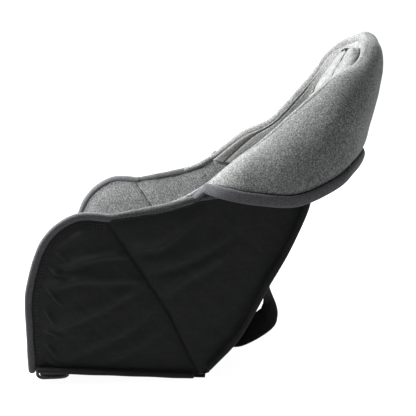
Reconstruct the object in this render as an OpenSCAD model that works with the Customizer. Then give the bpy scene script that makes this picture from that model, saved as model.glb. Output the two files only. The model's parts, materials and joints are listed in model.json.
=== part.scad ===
// Padded fabric bucket seat: a board-stiffened base and a tall backrest joined at a crease,
// quilted side gussets, a rolled-over cowl round the head end, a fold-under front flap and two
// webbing loops behind the backrest.
// Frame: +Z up, front faces -Y, X across the width, origin under the middle of the seat on the floor.

/* [Seat base] */
// Overall width across the outer faces of the side gussets
seat_w = 330; // [324:1:336]
// Depth of the base from the crease to the front edge
base_d = 234; // [233:0.5:235]
// Slope of the base, front edge raised
base_tilt = 4.4; // [4.3:0.1:4.6]
// Thickness of the seat cushion at its front
seat_pad_t = 24; // [20:1:25]
// Thickness of the stiffener board in the base
seat_board_t = 5; // [4:0.5:5]

/* [Backrest] */
// Thickness of the backrest foam
back_pad_t = 9; // [8:1:11]
// Thickness of the stiffener sheet in the backrest
back_board_t = 1; // [0.8:0.1:1.4]
// How far the head pillow stands out from the backrest lining
pillow_t = 8; // [5:1:9]

/* [Side gussets] */
// Thickness of one quilted gusset wall
wall_t = 10; // [9:1:11]
// Diameter of the knitted edge binding
binding_d = 11; // [10:1:12]
// Diameter of the black piping
piping_d = 8; // [6:1:8]

/* [Cowl] */
// Thickness of the three layers of the cowl together
cowl_t = 7; // [6:0.5:8]
// Thickness of the quilted inner walls beside the head
wing_t = 7; // [5:1:8]

/* [Webbing loops] */
// Width of the webbing
loop_w = 45; // [38:1:50]
// Thickness of the webbing
loop_t = 2.5; // [2:0.5:3]

/* [Front flap] */
// Thickness of the flap cloth on each face
flap_cloth = 1.6; // [1.2:0.2:2]

/* [Hidden] */

gap = 0.4;             // clearance between sewn layers
cover_t = 2;           // woven cover cloth with its backing
lining_t = 2.5;        // melange lining cloth
half_w = seat_w / 2;
inner_w = half_w - wall_t - 3;

// Rear face of the backrest in the YZ plane, from the crease to the head
rear_points = [[-19, 0], [37, 57], [81, 130], [110, 177], [138, 236], [148, 285], [163, 330], [190, 369],
    [217, 405], [237, 435]];
up = [0, 0, 1];

function mix(a, b, t) = a + (b - a) * t;
function unit(v) = v / norm(v);
function steps(n) = [for (i = [0:n]) i / n];

// Catmull-Rom curve through a few named points, and its direction
function catmull(p, t) =
    let (n = len(p) - 1, k = max(0, min(floor(t * n), n - 1)), f = t * n - k,
        a = p[max(k - 1, 0)], b = p[k], c = p[k + 1], d = p[min(k + 2, n)])
    0.5 * (2 * b + (c - a) * f + (2 * a - 5 * b + 4 * c - d) * f * f
        + (3 * b - a - 3 * c + d) * f * f * f);
function catmull_dir(p, t) = unit(catmull(p, min(1, t + 0.01)) - catmull(p, max(0, t - 0.01)));

// A point d in front of the rear face of the backrest, at share t of its height
function back_at(t, d) = let (n = catmull_dir(rear_points, t)) catmull(rear_points, t) + d * [-n[1], n[0]];

// A layer of the backrest between depths d0 and d1 from its rear face, from share t0 to share t1
back_steps = 40;
function back_layer(d0, d1, t0, t1) = concat(
    [for (s = steps(back_steps)) back_at(mix(t0, t1, s), d0)],
    [for (s = steps(back_steps)) back_at(mix(t1, t0, s), d1)]);

// A point u in front of the crease along the underside of the base and h above it
function base_at(u, h) = rear_points[0] + [-u * cos(base_tilt) + h * sin(base_tilt),
    u * sin(base_tilt) + h * cos(base_tilt)];

// Turns a YZ outline into a slab from x0 to x1
module slab(x0, x1) {
    translate([x0, 0, 0]) rotate([90, 0, 90]) linear_extrude(x1 - x0) children();
}

module on_side(side) {
    if (side == "left") mirror([1, 0, 0]) children();
    else children();
}

// Round tube swept along a path of points, closed at both ends
function tube_ring(p, i, r, sides) =
    let (n = len(p) - 1, d = unit(p[min(i + 1, n)] - p[max(i - 1, 0)]),
        a = unit(cross(d, abs(d[0]) < 0.8 ? [1, 0, 0] : up)), b = cross(d, a))
    [for (k = [0:sides - 1]) p[i] + r * (a * cos(360 * k / sides) + b * sin(360 * k / sides))];

module tube(p, r, sides = 10) {
    n = len(p);
    points = [for (i = [0:n - 1]) each tube_ring(p, i, r, sides)];
    faces = concat(
        [[for (k = [0:sides - 1]) k]],
        [for (i = [0:n - 2]) for (k = [0:sides - 1]) let (m = (k + 1) % sides)
            [i * sides + k, (i + 1) * sides + k, (i + 1) * sides + m, i * sides + m]],
        [[for (k = [sides - 1:-1:0]) (n - 1) * sides + k]]);
    polyhedron(points, faces);
}

// Closed shell between two curved sheets. at(u, v, k) gives a point of sheet k, u and v from 0 to 1
module shell(at, n, rows) {
    cols = rows + 1;
    sheet = (n + 1) * cols;
    points = [for (k = [0, 1]) for (i = [0:n]) for (j = [0:rows]) at(i / n, j / rows, k)];
    function id(k, i, j) = k * sheet + i * cols + j;
    function quad(a, b, c, d) = [[a, b, c], [a, c, d]];
    faces = concat(
        [for (i = [0:n - 1]) for (j = [0:rows - 1]) each
            quad(id(0, i, j), id(0, i + 1, j), id(0, i + 1, j + 1), id(0, i, j + 1))],
        [for (i = [0:n - 1]) for (j = [0:rows - 1]) each
            quad(id(1, i, j), id(1, i, j + 1), id(1, i + 1, j + 1), id(1, i + 1, j))],
        [for (i = [0:n - 1]) each quad(id(0, i, 0), id(1, i, 0), id(1, i + 1, 0), id(0, i + 1, 0))],
        [for (i = [0:n - 1]) each
            quad(id(0, i, rows), id(0, i + 1, rows), id(1, i + 1, rows), id(1, i, rows))],
        [for (j = [0:rows - 1]) each quad(id(0, 0, j), id(0, 0, j + 1), id(1, 0, j + 1), id(1, 0, j))],
        [for (j = [0:rows - 1]) each quad(id(0, n, j), id(1, n, j), id(1, n, j + 1), id(0, n, j + 1))]);
    polyhedron(points, faces);
}

// ---- outlines in the YZ plane ----

seam_top = [-135, 226];     // where the diagonal seam meets the top edge
wing_tip = [-7, 254];       // where the cowl grows out of the top edge
// Front edge of the side, an upright and a long round, up to the top of the seam
arc_points = [base_at(base_d, cover_t), [-250, 79], [-245, 134], [-219, 198], [-178, 228], seam_top];
// Top edge from the seam to the wing tip, a shallow sag
rail_points = [seam_top, [-110, 229], [-59, 236], [-28, 245], wing_tip];
gusset_share = 0.5;         // share of the rear face where the gusset ends, under the cowl
gusset_foot = cover_t + gap;

module gusset_front_outline() {
    polygon(concat([base_at(13, gusset_foot)], [base_at(base_d, gusset_foot)],
        [for (i = [1:16]) catmull(arc_points, i / 16)]));
}

module gusset_rear_outline() {
    polygon(concat([base_at(12, gusset_foot) + [0, 1.2]],
        [for (i = [0:12]) catmull(rail_points, i / 12) + [0.8, 0]],
        [for (s = steps(12)) back_at(mix(gusset_share, 0.03, s), gusset_foot)]));
}

// ---- base ----

rear_edge = -15;       // y of the rear edge of the base, which stands on the floor

module base_cover() {
    color("#191b1c") slab(-half_w, half_w)
        polygon([[rear_edge, 0], rear_points[0], base_at(base_d, 0), base_at(base_d, cover_t),
            base_at(10, cover_t), [rear_edge, cover_t]]);
}

// Cloth that turns up from the base into the backrest at the crease
module crease_web() {
    color("#191b1c") slab(-inner_w, inner_w)
        polygon([[rear_edge + gap, 0.4], [-9.4, 3], [-7.2, 7.4], [-9, 8.4], [-11, 5], [rear_edge + gap, 2.2]]);
}

module seat_board() {
    h = cover_t + gap;
    color("#2b2c2d") slab(-inner_w, inner_w)
        polygon([base_at(18, h), base_at(base_d - 12, h), base_at(base_d - 12, h + seat_board_t),
            base_at(18, h + seat_board_t)]);
}

// The cushion thins towards the crease so that the backrest can fold down on it
seat_stack = cover_t + seat_board_t + 2 * gap;
seat_front = base_d - 14;
function seat_top(h) = [base_at(base_d - 4, seat_stack + seat_pad_t * 0.6), base_at(seat_front, seat_stack + h),
    base_at(100, seat_stack + h - 2), base_at(40, seat_stack + 5)];

module seat_pad() {
    color("#3b3d3e") slab(-inner_w, inner_w)
        polygon(concat([base_at(34, seat_stack), base_at(base_d - 10, seat_stack)], seat_top(seat_pad_t)));
}

module seat_lining() {
    top = seat_top(seat_pad_t);
    color("#6c6f70") slab(-inner_w, inner_w)
        polygon(concat([for (i = [1:3]) top[i] + [0, gap]], [for (i = [3:-1:1]) top[i] + [0, gap + lining_t]]));
}

module front_edge_binding() {
    edge = base_at(base_d + 1, cover_t + binding_d / 2 + 1);
    color("#45464c") tube([for (x = [-inner_w, inner_w]) [x, edge[0], edge[1]]], binding_d / 2 - 1);
}

module base_piping(side) {
    color("#121314") on_side(side) tube([for (u = [16, base_d - 6])
        let (p = base_at(u, piping_d / 2)) [half_w + piping_d / 2 + gap, p[0], p[1]]], piping_d / 2);
}

// ---- side gussets ----

// The three layers of a wall, each as its place between the inner and the outer face
outer_span = [half_w - cover_t, half_w];
foam_span = [half_w - wall_t + lining_t + gap, half_w - cover_t - gap];
lining_span = [half_w - wall_t, half_w - wall_t + lining_t];

module gusset_layer(side, span, shade) {
    color(shade) on_side(side) slab(span[0], span[1]) children();
}

module arc_binding(side) {
    r = binding_d / 2;
    color("#45464c") on_side(side) tube([for (i = [1:18]) let (p = catmull(arc_points, i / 18),
        d = catmull_dir(arc_points, i / 18))
        [half_w - wall_t / 2, p[0] - (r + 2 * gap) * d[1], p[1] + (r + 2 * gap) * d[0]]], r);
}

module top_rail(side) {
    r = binding_d / 2;
    color("#5d6061") on_side(side) tube([for (i = [1:12]) let (p = catmull(rail_points, i / 12.6))
        [half_w - wall_t / 2, p[0], p[1] + r + gap + 0.6]], r);
}

// ---- cowl ----

// Crest of the cowl on the right side, from the wing tip to the middle of the head
crest_points = [[158, -3, 268], [152, 43, 302], [150, 79, 326], [146, 116, 355], [130, 171, 400],
    [108, 202, 428], [64, 226, 451], [0, 236, 460]];
// Hem of the cowl on the right side, under the same stations
hem_points = [[168, -3, 262], [188, 30, 256], [198, 72, 249], [200, 120, 246], [190, 165, 262],
    [160, 195, 279], [92, 219, 284], [0, 227, 283]];
crest_steps = 56;
hem_steps = 8;
// Direction in which the cowl leans out: sideways at the tip, rearwards at the head
function lean(s) = let (a = 90 * pow(s, 1.6)) [cos(a), sin(a), 0];
function bezier(p, t) = let (u = 1 - t)
    u * u * u * p[0] + 3 * u * u * t * p[1] + 3 * u * t * t * p[2] + t * t * t * p[3];
// Cross-section of the cowl at station s: over the crest and down to the hem, at depth d inside it
function cowl_section(s, d) =
    let (c = catmull(crest_points, s), h = catmull(hem_points, s), drop = (c - h)[2],
        fade = min(1, drop / 60), out = lean(s))
    [c - d * up, c + mix(14, 46, s) * fade * out + 0.02 * drop * up - d * (up + 0.7 * out),
        h + 0.5 * drop * up + mix(4, 37, s) * fade * out - d * out, h - d * out];
// Stations run from the right tip over the head to the left tip
function over_head(p, s) = s > 1 ? [-p[0], p[1], p[2]] : p;
function fold(s) = s > 1 ? 2 - s : s;
tip_share = 0.04;      // the shell starts just past the tip, where it has height
function cowl_sheet(d0, d1, t0, t1) = function (u, v, k)
    let (s = mix(tip_share, 2 - tip_share, u))
    over_head(bezier(cowl_section(fold(s), k == 0 ? d0 : d1), mix(t0, t1, v)), s);

band_share = 0.9;      // where the melange ends and the knitted band begins
cowl_face_t = 2.2;
cowl_foam_t = cowl_t - cowl_face_t - 1.6 - 2 * gap;

module cowl() {
    color("#74777a") shell(cowl_sheet(0, cowl_face_t, 0, band_share), crest_steps, hem_steps);
}

module cowl_foam() {
    d = cowl_face_t + gap;
    color("#3b3d3e") shell(cowl_sheet(d, d + cowl_foam_t, 0, band_share), crest_steps, hem_steps);
}

module cowl_lining() {
    color("#1d1f20") shell(cowl_sheet(cowl_t - 1.6, cowl_t, 0, band_share), crest_steps, hem_steps);
}

module cowl_band() {
    color("#45464c") shell(cowl_sheet(0, cowl_t, band_share + 0.006, 1), crest_steps, 1);
}

// ---- backrest ----

// Front view of the backrest: straight sides, narrowing to a round head inside the cowl
module head_outline(inset, base_half) {
    right = [for (i = [0:14]) let (p = catmull(crest_points, mix(2 / 7, 1, i / 14)))
        [max(0, min(base_half, p[0] - inset)), p[2] - inset - 4]];
    left = [for (i = [14:-1:0]) if (right[i][0] > 0) [-right[i][0], right[i][1]]];
    translate([0, 400, 0]) rotate([90, 0, 0]) linear_extrude(500)
        polygon(concat([[base_half, -10]], right, left, [[-base_half, -10]]));
}

module back_cover() {
    color("#191b1c") intersection() {
        slab(-half_w, half_w) polygon(back_layer(0, cover_t, 0.03, 0.97));
        head_outline(cowl_t + 8, half_w);
    }
}

board_depth = cover_t + gap;
module back_board() {
    color("#2b2c2d") intersection() {
        slab(-inner_w, inner_w) polygon(back_layer(board_depth, board_depth + back_board_t, 0.05, 0.94));
        head_outline(cowl_t + 12, inner_w - 6);
    }
}

// The foam thins towards the crease, as the seat cushion does
pad_depth = board_depth + back_board_t + gap;
pad_front = pad_depth + back_pad_t;
pad_half = inner_w - 16;
pad_inset = cowl_t + wing_t + 21;

module back_pad() {
    color("#3b3d3e") intersection() {
        slab(-pad_half, pad_half)
            polygon(concat([for (s = steps(back_steps)) back_at(mix(0.08, 0.93, s), pad_depth)],
                [for (s = steps(back_steps)) back_at(mix(0.93, 0.22, s), pad_front)],
                [back_at(0.09, pad_depth + 4)]));
        head_outline(pad_inset, pad_half);
    }
}

module back_lining() {
    d = pad_front + gap;
    color("#6c6f70") intersection() {
        slab(-pad_half, pad_half)
            polygon(concat([back_at(0.09, pad_depth + 4 + gap)],
                [for (s = steps(back_steps)) back_at(mix(0.22, 0.93, s), d)],
                [for (s = steps(back_steps)) back_at(mix(0.93, 0.22, s), d + lining_t)],
                [back_at(0.09, pad_depth + 4 + gap + lining_t)]));
        head_outline(pad_inset, pad_half);
    }
}

// Long oval pillow quilted on the lining at the head
pillow_half = [47, 53];        // half its width and half its height
pillow_z = 386;
module head_pillow() {
    d = pad_front + 2 * gap + lining_t;
    color("#6c6f70") intersection() {
        slab(-pillow_half[0], pillow_half[0]) polygon(back_layer(d, d + pillow_t, 0.5, 0.95));
        translate([0, 400, pillow_z]) rotate([90, 0, 0]) linear_extrude(500)
            scale([pillow_half[0], pillow_half[1]]) circle(1, $fn = 48);
    }
}

// Quilted inner walls beside the head: from under the crest back to the edge of the backrest
function wing_section(s, d) =
    let (c = catmull(crest_points, s), out = lean(s), foot = back_at(mix(0.43, 0.955, pow(s, 0.85)), pad_depth),
        top = [min(c[0] - 4, inner_w + 0.5), c[1], c[2] - cowl_t - 1.5] + 3 * [0, out[1], 0])
    [top - d * out, [min(c[0] * 0.93, inner_w - 2), foot[0], foot[1]] - d * out];
function wing_sheet(s0, s1) = function (u, v, k)
    let (s = mix(s0, s1, u), p = wing_section(fold(s), k == 0 ? 0 : wing_t),
        sag = 6 * sin(180 * v) * lean(fold(s)))
    over_head(mix(p[0], p[1], v) + sag * (fold(s) < 0.2 ? 0 : 0.5), s);
rim_share = 0.72;      // where the side walls end and the rim over the head begins

module wing_lining(side) {
    color("#6c6f70") on_side(side) shell(wing_sheet(tip_share + 0.01, rim_share), 20, 3);
}

module head_rim() {
    color("#6c6f70") shell(wing_sheet(rim_share + 0.006, 2 - rim_share - 0.006), 20, 3);
}

module back_piping(side) {
    color("#121314") on_side(side) tube([for (s = steps(14))
        let (p = back_at(mix(0.035, gusset_share, s), piping_d / 2)) [half_w + piping_d / 2 + gap, p[0], p[1]]],
        piping_d / 2);
}

// ---- webbing loops behind the backrest ----

loop_x = 98;                   // inner edge of a loop
loop_top = 0.21;              // shares of the rear face where the webbing is sewn down
loop_foot = 0.08;
loop_bend = [[92, 88], [90.5, 75], [84, 67], [45, 42]];    // free run of the webbing, [y, z]

module rear_loop(side) {
    run = concat([back_at(loop_top, -gap)], loop_bend, [back_at(loop_foot, -gap)]);
    inner = [for (i = [0:len(run) - 1]) let (d = unit(run[min(i + 1, len(run) - 1)] - run[max(i - 1, 0)]))
        run[i] + loop_t * [-abs(d[1]), i < 3 ? 0.3 : 0.9]];
    last = len(run) - 1;
    color("#121314") on_side(side) slab(loop_x, loop_x + loop_w)
        polygon(concat(run, [back_at(loop_foot + 0.02, -gap)], [for (i = [last - 1:-1:1]) inner[i]],
            [back_at(loop_top - 0.02, -gap)]));
}

// ---- front flap, folded under the base ----

flap_pivot = [-249, 9];        // [y, z] of the sewn edge that it swings on
flap_nose = 8.4;               // radius of the rolled edge round the pivot
flap_tail = [[-214, 13], [-208.6, 10.6], [-207, 7], [-209.5, 2.6], [-218, 0], [-241, 0]];
function nose_at(a, r) = flap_pivot + r * [cos(a), sin(a)];
nose_top = [for (a = [90:18:180]) nose_at(a, flap_nose)];
nose_low = [for (a = [180:18:270]) nose_at(a, flap_nose)];

module flap_outline() {
    polygon(concat([for (i = [0:len(nose_top) - 1]) nose_top[i]], [for (i = [1:len(nose_low) - 1]) nose_low[i]],
        [for (i = [len(flap_tail) - 1:-1:0]) flap_tail[i]]));
}

// The half of the flap on one side of its middle, where the cloth of that face lies
module flap_skin(lower) {
    z = flap_pivot[1] - 2.2;
    intersection() {
        difference() {
            flap_outline();
            offset(delta = -flap_cloth) flap_outline();
        }
        translate([-270, lower ? -5 : z + gap]) square([80, lower ? z + 5 : 30]);
    }
}

module flap_face() {
    color("#45464c") slab(-inner_w, inner_w) flap_skin(true);
}

module flap_backing() {
    color("#1d1f20") slab(-inner_w, inner_w) flap_skin(false);
}

module flap_pad() {
    color("#3b3d3e") slab(-inner_w, inner_w) offset(delta = -flap_cloth - gap) flap_outline();
}

module flap_binding(side) {
    color("#45464c") on_side(side) tube([for (p = [[-249, 9], [-238, 7.6], [-226, 6.6], [-213, 6.2]])
        [inner_w + 5.4, p[0], p[1]]], 5);
}

// ---- nodes ----

base_cover();
crease_web();
seat_board();
seat_pad();
seat_lining();
front_edge_binding();
for (side = ["left", "right"]) {
    base_piping(side);
    gusset_layer(side, outer_span, "#1d1f20") gusset_front_outline();
    gusset_layer(side, foam_span, "#3b3d3e") gusset_front_outline();
    gusset_layer(side, lining_span, "#6c6f70") gusset_front_outline();
    gusset_layer(side, outer_span, "#1d1f20") gusset_rear_outline();
    gusset_layer(side, foam_span, "#3b3d3e") gusset_rear_outline();
    gusset_layer(side, lining_span, "#6c6f70") gusset_rear_outline();
    arc_binding(side);
    top_rail(side);
    wing_lining(side);
    back_piping(side);
    rear_loop(side);
    flap_binding(side);
}
back_cover();
back_board();
back_pad();
back_lining();
head_pillow();
head_rim();
cowl();
cowl_foam();
cowl_lining();
cowl_band();
flap_face();
flap_pad();
flap_backing();
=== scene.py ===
"""Cloth, padding, seams and bindings of a padded pushchair seat, built on its CAD frame.

Shapes are worked out in millimetres in the frame of the CAD model and become metres in the mesh.
"""
import json
import math

import bmesh
import bpy
import numpy as np
from mathutils import Matrix, Vector


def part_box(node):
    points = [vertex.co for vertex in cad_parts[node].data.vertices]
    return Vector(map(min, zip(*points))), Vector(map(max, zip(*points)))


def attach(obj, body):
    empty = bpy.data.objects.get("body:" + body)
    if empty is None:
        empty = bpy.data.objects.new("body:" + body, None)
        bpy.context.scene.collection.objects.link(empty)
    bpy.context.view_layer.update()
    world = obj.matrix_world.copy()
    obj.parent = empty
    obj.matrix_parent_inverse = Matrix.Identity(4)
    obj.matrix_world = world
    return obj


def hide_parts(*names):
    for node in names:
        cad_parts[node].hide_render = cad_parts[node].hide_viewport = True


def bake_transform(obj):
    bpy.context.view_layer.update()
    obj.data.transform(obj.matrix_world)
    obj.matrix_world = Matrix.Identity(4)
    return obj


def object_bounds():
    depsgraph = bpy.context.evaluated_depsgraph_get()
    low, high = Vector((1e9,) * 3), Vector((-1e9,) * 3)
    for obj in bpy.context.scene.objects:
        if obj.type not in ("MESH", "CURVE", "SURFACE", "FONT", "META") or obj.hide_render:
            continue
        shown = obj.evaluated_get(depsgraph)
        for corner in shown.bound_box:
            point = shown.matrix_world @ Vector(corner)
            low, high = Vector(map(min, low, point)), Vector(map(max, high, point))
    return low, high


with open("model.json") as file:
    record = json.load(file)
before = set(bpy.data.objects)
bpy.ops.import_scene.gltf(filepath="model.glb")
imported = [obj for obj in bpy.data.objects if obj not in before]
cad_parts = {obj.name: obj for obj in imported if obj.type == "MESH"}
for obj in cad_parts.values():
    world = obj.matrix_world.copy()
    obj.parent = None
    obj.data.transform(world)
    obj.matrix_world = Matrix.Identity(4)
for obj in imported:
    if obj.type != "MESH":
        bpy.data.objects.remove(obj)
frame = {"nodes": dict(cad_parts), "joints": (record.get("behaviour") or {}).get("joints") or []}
cad_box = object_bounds()
scene = bpy.context.scene

MM = 0.001
SIDES = {"right": 1, "left": -1}
AXIS_X = np.array([1.0, 0, 0])
AXIS_Z = np.array([0, 0, 1.0])


def in_mm(node):
    """Lowest and highest corner of a CAD node, in millimetres."""
    low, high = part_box(node)
    return np.array(low) / MM, np.array(high) / MM


# ---- driving sizes, repeated from the CAD model ----

HALF_W = in_mm("gusset_front_outer_right")[1][0]
WALL_T = 10
INNER_W = HALF_W - WALL_T - 3
COVER_T = 2
GAP = 0.4
SEAM_R = 0.9            # thread lines in the linings
FINE_PIPING_R = 1.5
FLAP_EDGE_R = 2.3
TAPE_R = 2.6            # tape that the pipings are sewn to
CREST_R = (4.5, 8.0)    # roll along the crest, at its tip and at the head
BAND_T = 4.3            # half the thickness of the hem band
PAD_T = 11.5            # padding of the backrest, over its thin edge
BASE_D = 234
BASE_TILT = math.radians(4.4)
SEAT_STACK = 7.8
PIPING_R = 4
BINDING_R = 5.5
BINDING_X = HALF_W - WALL_T / 2
COWL_T = 7
WING_T = 7
HINGE = np.array(next(j for j in frame["joints"] if j["name"] == "back_fold")["pos_m"])[1:] / MM

REAR = [[-19, 0], [37, 57], [81, 130], [110, 177], [138, 236], [148, 285], [163, 330], [190, 369],
        [217, 405], [237, 435]]
CREST = [[158, -3, 268], [152, 43, 302], [150, 79, 326], [146, 116, 355], [130, 171, 400],
         [108, 202, 428], [64, 226, 451], [0, 236, 460]]
HEM = [[168, -3, 262], [188, 30, 256], [198, 72, 249], [200, 120, 246], [190, 165, 262],
       [160, 195, 279], [92, 219, 284], [0, 227, 283]]
SEAM_TOP = [-135, 226]
WING_TIP = [-7, 254]


# ---- curves ----

def catmull(points, t):
    """Points at shares t of a smooth curve through a few named points."""
    p = np.asarray(points, float)
    last = len(p) - 1
    t = np.atleast_1d(np.asarray(t, float))
    k = np.clip(np.floor(t * last).astype(int), 0, last - 1)
    f = (t * last - k)[:, None]
    a, b, c, d = p[np.maximum(k - 1, 0)], p[k], p[k + 1], p[np.minimum(k + 2, last)]
    return 0.5 * (2 * b + (c - a) * f + (2 * a - 5 * b + 4 * c - d) * f ** 2
                  + (3 * b - a - 3 * c + d) * f ** 3)


def curve(points, count):
    """That many points along the smooth curve."""
    return catmull(points, np.linspace(0, 1, count))


def unit(v):
    return v / np.maximum(np.linalg.norm(v, axis=-1, keepdims=True), 1e-9)


def course(path):
    """Direction of a path at each of its points."""
    return unit(np.gradient(path, axis=0))


def heading(points, t):
    t = np.atleast_1d(np.asarray(t, float))
    return unit(catmull(points, np.minimum(1, t + 0.01)) - catmull(points, np.maximum(0, t - 0.01)))


def mix(a, b, t):
    return a + (b - a) * t


def smooth(t):
    t = np.clip(t, 0, 1)
    return t * t * (3 - 2 * t)


def left_of(way):
    """The 2-D directions turned a quarter turn to the left."""
    return np.stack([-way[:, 1], way[:, 0]], 1)


def right_of(way):
    return -left_of(way)


def bell(x, width, middle=0):
    """1 at the middle, falling to nothing a few widths away."""
    return np.exp(-((x - middle) / width) ** 2)


def back_at(t, depth):
    """[y, z] at share t of the backrest's height, depth in front of its rear face."""
    n = heading(REAR, t)
    depth = np.broadcast_to(depth, len(n))[:, None]
    return catmull(REAR, t) + depth * left_of(n)


def base_at(u, h):
    """[y, z] at u in front of the crease along the underside of the base, and h above it."""
    u, h = np.broadcast_arrays(np.atleast_1d(np.asarray(u, float)), h)
    cos, sin = math.cos(BASE_TILT), math.sin(BASE_TILT)
    return np.stack([REAR[0][0] - u * cos + h * sin, REAR[0][1] + u * sin + h * cos], 1)


def even(points, count):
    """The path again with count points the same distance apart."""
    run = np.r_[0, np.cumsum(np.linalg.norm(np.diff(points, axis=0), axis=1))]
    at = np.linspace(0, run[-1], count)
    return np.stack([np.interp(at, run, points[:, k]) for k in range(points.shape[1])], 1)


def at_x(x, yz):
    return np.column_stack([np.broadcast_to(x, len(yz)), yz])


def near_path(points, path):
    """Signed distance of 2-D points from a path, and the share of the path that is nearest."""
    best = np.full(len(points), 1e9)
    signed = np.zeros(len(points))
    share = np.zeros(len(points))
    last = len(path) - 1
    for i in range(last):
        a, ab = path[i], path[i + 1] - path[i]
        t = np.clip((points - a) @ ab / max(ab @ ab, 1e-9), 0, 1)
        off = points - a - t[:, None] * ab
        d = np.hypot(off[:, 0], off[:, 1])
        closer = d < best
        best[closer] = d[closer]
        turn = np.where(ab[0] * off[:, 1] - ab[1] * off[:, 0] < 0, -1, 1)
        signed[closer] = (d * turn)[closer]
        share[closer] = ((i + t) / last)[closer]
    return signed, share


def ripple(points, size, seed, waves=7):
    """Smooth random lumps of about that size, between -1 and 1 or so."""
    rng = np.random.default_rng(seed)
    total = np.zeros(len(points))
    for _ in range(waves):
        way = unit(rng.normal(size=points.shape[1]))
        pitch = size * rng.uniform(0.7, 1.6)
        total += np.sin(points @ way * 2 * math.pi / pitch + rng.uniform(0, 2 * math.pi))
    return total / math.sqrt(waves)


def lumpy(points, *layers):
    """The sum of random lumps, each layer given as height, size and seed."""
    return sum(height * ripple(points, size, seed) for height, size, seed in layers)


# ---- meshes ----

def place(name, data):
    obj = bpy.data.objects.new(name, data)
    scene.collection.objects.link(obj)
    return obj


def make_mesh(name, verts, faces, material):
    mesh = bpy.data.meshes.new(name)
    mesh.from_pydata((np.asarray(verts) * MM).tolist(), [], faces)
    mesh.materials.append(material)
    work = bmesh.new()
    work.from_mesh(mesh)
    bmesh.ops.recalc_face_normals(work, faces=work.faces)
    work.to_mesh(mesh)
    work.free()
    mesh.polygons.foreach_set("use_smooth", [True] * len(mesh.polygons))
    return place(name, mesh)


def quads(index):
    corners = [index[:-1, :-1], index[1:, :-1], index[1:, 1:], index[:-1, 1:]]
    return np.stack([c.ravel() for c in corners], 1).tolist()


def loft(name, rings, material):
    """A closed bar through rings with the same number of points, flat at both ends."""
    count, sides = len(rings), len(rings[0])
    index = np.arange(count * sides).reshape(count, sides)
    index = np.column_stack([index, index[:, 0]])
    faces = quads(index) + [index[0, :-1].tolist(), index[-1, :-1].tolist()]
    return make_mesh(name, np.concatenate(rings), faces, material)


def closed_ring(outline, count):
    """That many points on a smooth closed curve through the outline."""
    return catmull(np.concatenate([outline, outline[:1]]), np.linspace(0, 1, count + 1))[:-1]


def closed_shell(name, front, back, material):
    """A closed piece between two sheets of points with the same rows and columns."""
    rows, cols = front.shape[:2]
    count = rows * cols
    index = np.arange(count).reshape(rows, cols)
    rim = np.r_[index[:, 0], index[-1, 1:], index[-2::-1, -1], index[0, -2:0:-1]]
    after = np.roll(rim, -1)
    sides = np.stack([after, rim, rim + count, after + count], 1).tolist()
    faces = quads(index) + quads(index.T + count) + sides
    verts = np.concatenate([front.reshape(-1, 3), back.reshape(-1, 3)])
    return make_mesh(name, verts, faces, material)


def sweep(name, centre, across, along, half_a, half_b, material, sides=20, power=1.0):
    """A closed bar: rings about centre, half_a wide along across and half_b along along."""
    count = len(centre)
    half_a = np.broadcast_to(half_a, count).astype(float)
    half_b = np.broadcast_to(half_b, count).astype(float)
    way = course(centre)
    turn = np.arange(sides) * 2 * math.pi / sides
    cos, sin = np.cos(turn), np.sin(turn)
    cos = np.sign(cos) * np.abs(cos) ** power
    sin = np.sign(sin) * np.abs(sin) ** power
    dome = np.linspace(0.15, 1.4, 4)
    places = [(0, math.sin(a), -math.cos(a)) for a in dome]
    places += [(i, 1, 0) for i in range(count)]
    places += [(count - 1, math.sin(a), math.cos(a)) for a in dome[::-1]]
    rings = []
    for i, scale, push in places:
        at = centre[i] + way[i] * push * min(half_a[i], half_b[i])
        section = half_a[i] * np.outer(cos, across[i]) + half_b[i] * np.outer(sin, along[i])
        rings.append(at + scale * section)
    return loft(name, rings, material)


def tube(name, path, radius, material, ref=AXIS_X, sides=20, flat=1.0):
    """A round bar along a path. ref is a direction that the path never follows."""
    way = course(path)
    across = unit(ref - (way @ ref)[:, None] * way)
    along = np.cross(way, across)
    radius = np.broadcast_to(radius, len(path))
    return sweep(name, path, across, along, radius, radius * flat, material, sides)


def stitches(name, path, material, length=3.2, space=1.8, radius=0.45):
    """A row of separate thread stitches along a path."""
    run = np.linalg.norm(np.diff(path, axis=0), axis=1).sum()
    count = max(2, int(run / (length + space)))
    spots = even(path, 2 * count + 1)
    verts = []
    faces = []
    ring = 6
    for i in range(count):
        a, b = spots[2 * i], spots[2 * i + 1]
        way = unit(b - a)
        side = unit(np.cross(way, AXIS_Z if abs(way[2]) < 0.9 else AXIS_X))
        top = np.cross(way, side)
        mid = (a + b) / 2
        start = len(verts)
        verts.append(mid - way * length / 2)
        for push in (-0.3, 0.3):
            for k in range(ring):
                angle = k * 2 * math.pi / ring
                spoke = math.cos(angle) * side + math.sin(angle) * top
                verts.append(mid + way * length * push + radius * spoke)
        verts.append(mid + way * length / 2)
        end = len(verts) - 1
        for k in range(ring):
            n = (k + 1) % ring
            low, high = start + 1, start + 1 + ring
            faces.append([start, low + n, low + k])
            faces.append([low + k, low + n, high + n, high + k])
            faces.append([end, high + k, high + n])
    return make_mesh(name, verts, faces, material)


def points_of(obj):
    co = np.empty(len(obj.data.vertices) * 3)
    obj.data.vertices.foreach_get("co", co)
    return co.reshape(-1, 3) / MM


def normals_of(obj):
    co = np.empty(len(obj.data.vertices) * 3)
    obj.data.vertices.foreach_get("normal", co)
    return co.reshape(-1, 3)


def move_points(obj, points):
    obj.data.vertices.foreach_set("co", (points * MM).ravel())
    obj.data.update()


def apply_modifiers(obj):
    held = bpy.context.evaluated_depsgraph_get()
    mesh = bpy.data.meshes.new_from_object(obj.evaluated_get(held))
    old = obj.data
    obj.modifiers.clear()
    obj.data = mesh
    bpy.data.meshes.remove(old)
    mesh.polygons.foreach_set("use_smooth", [True] * len(mesh.polygons))


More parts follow.
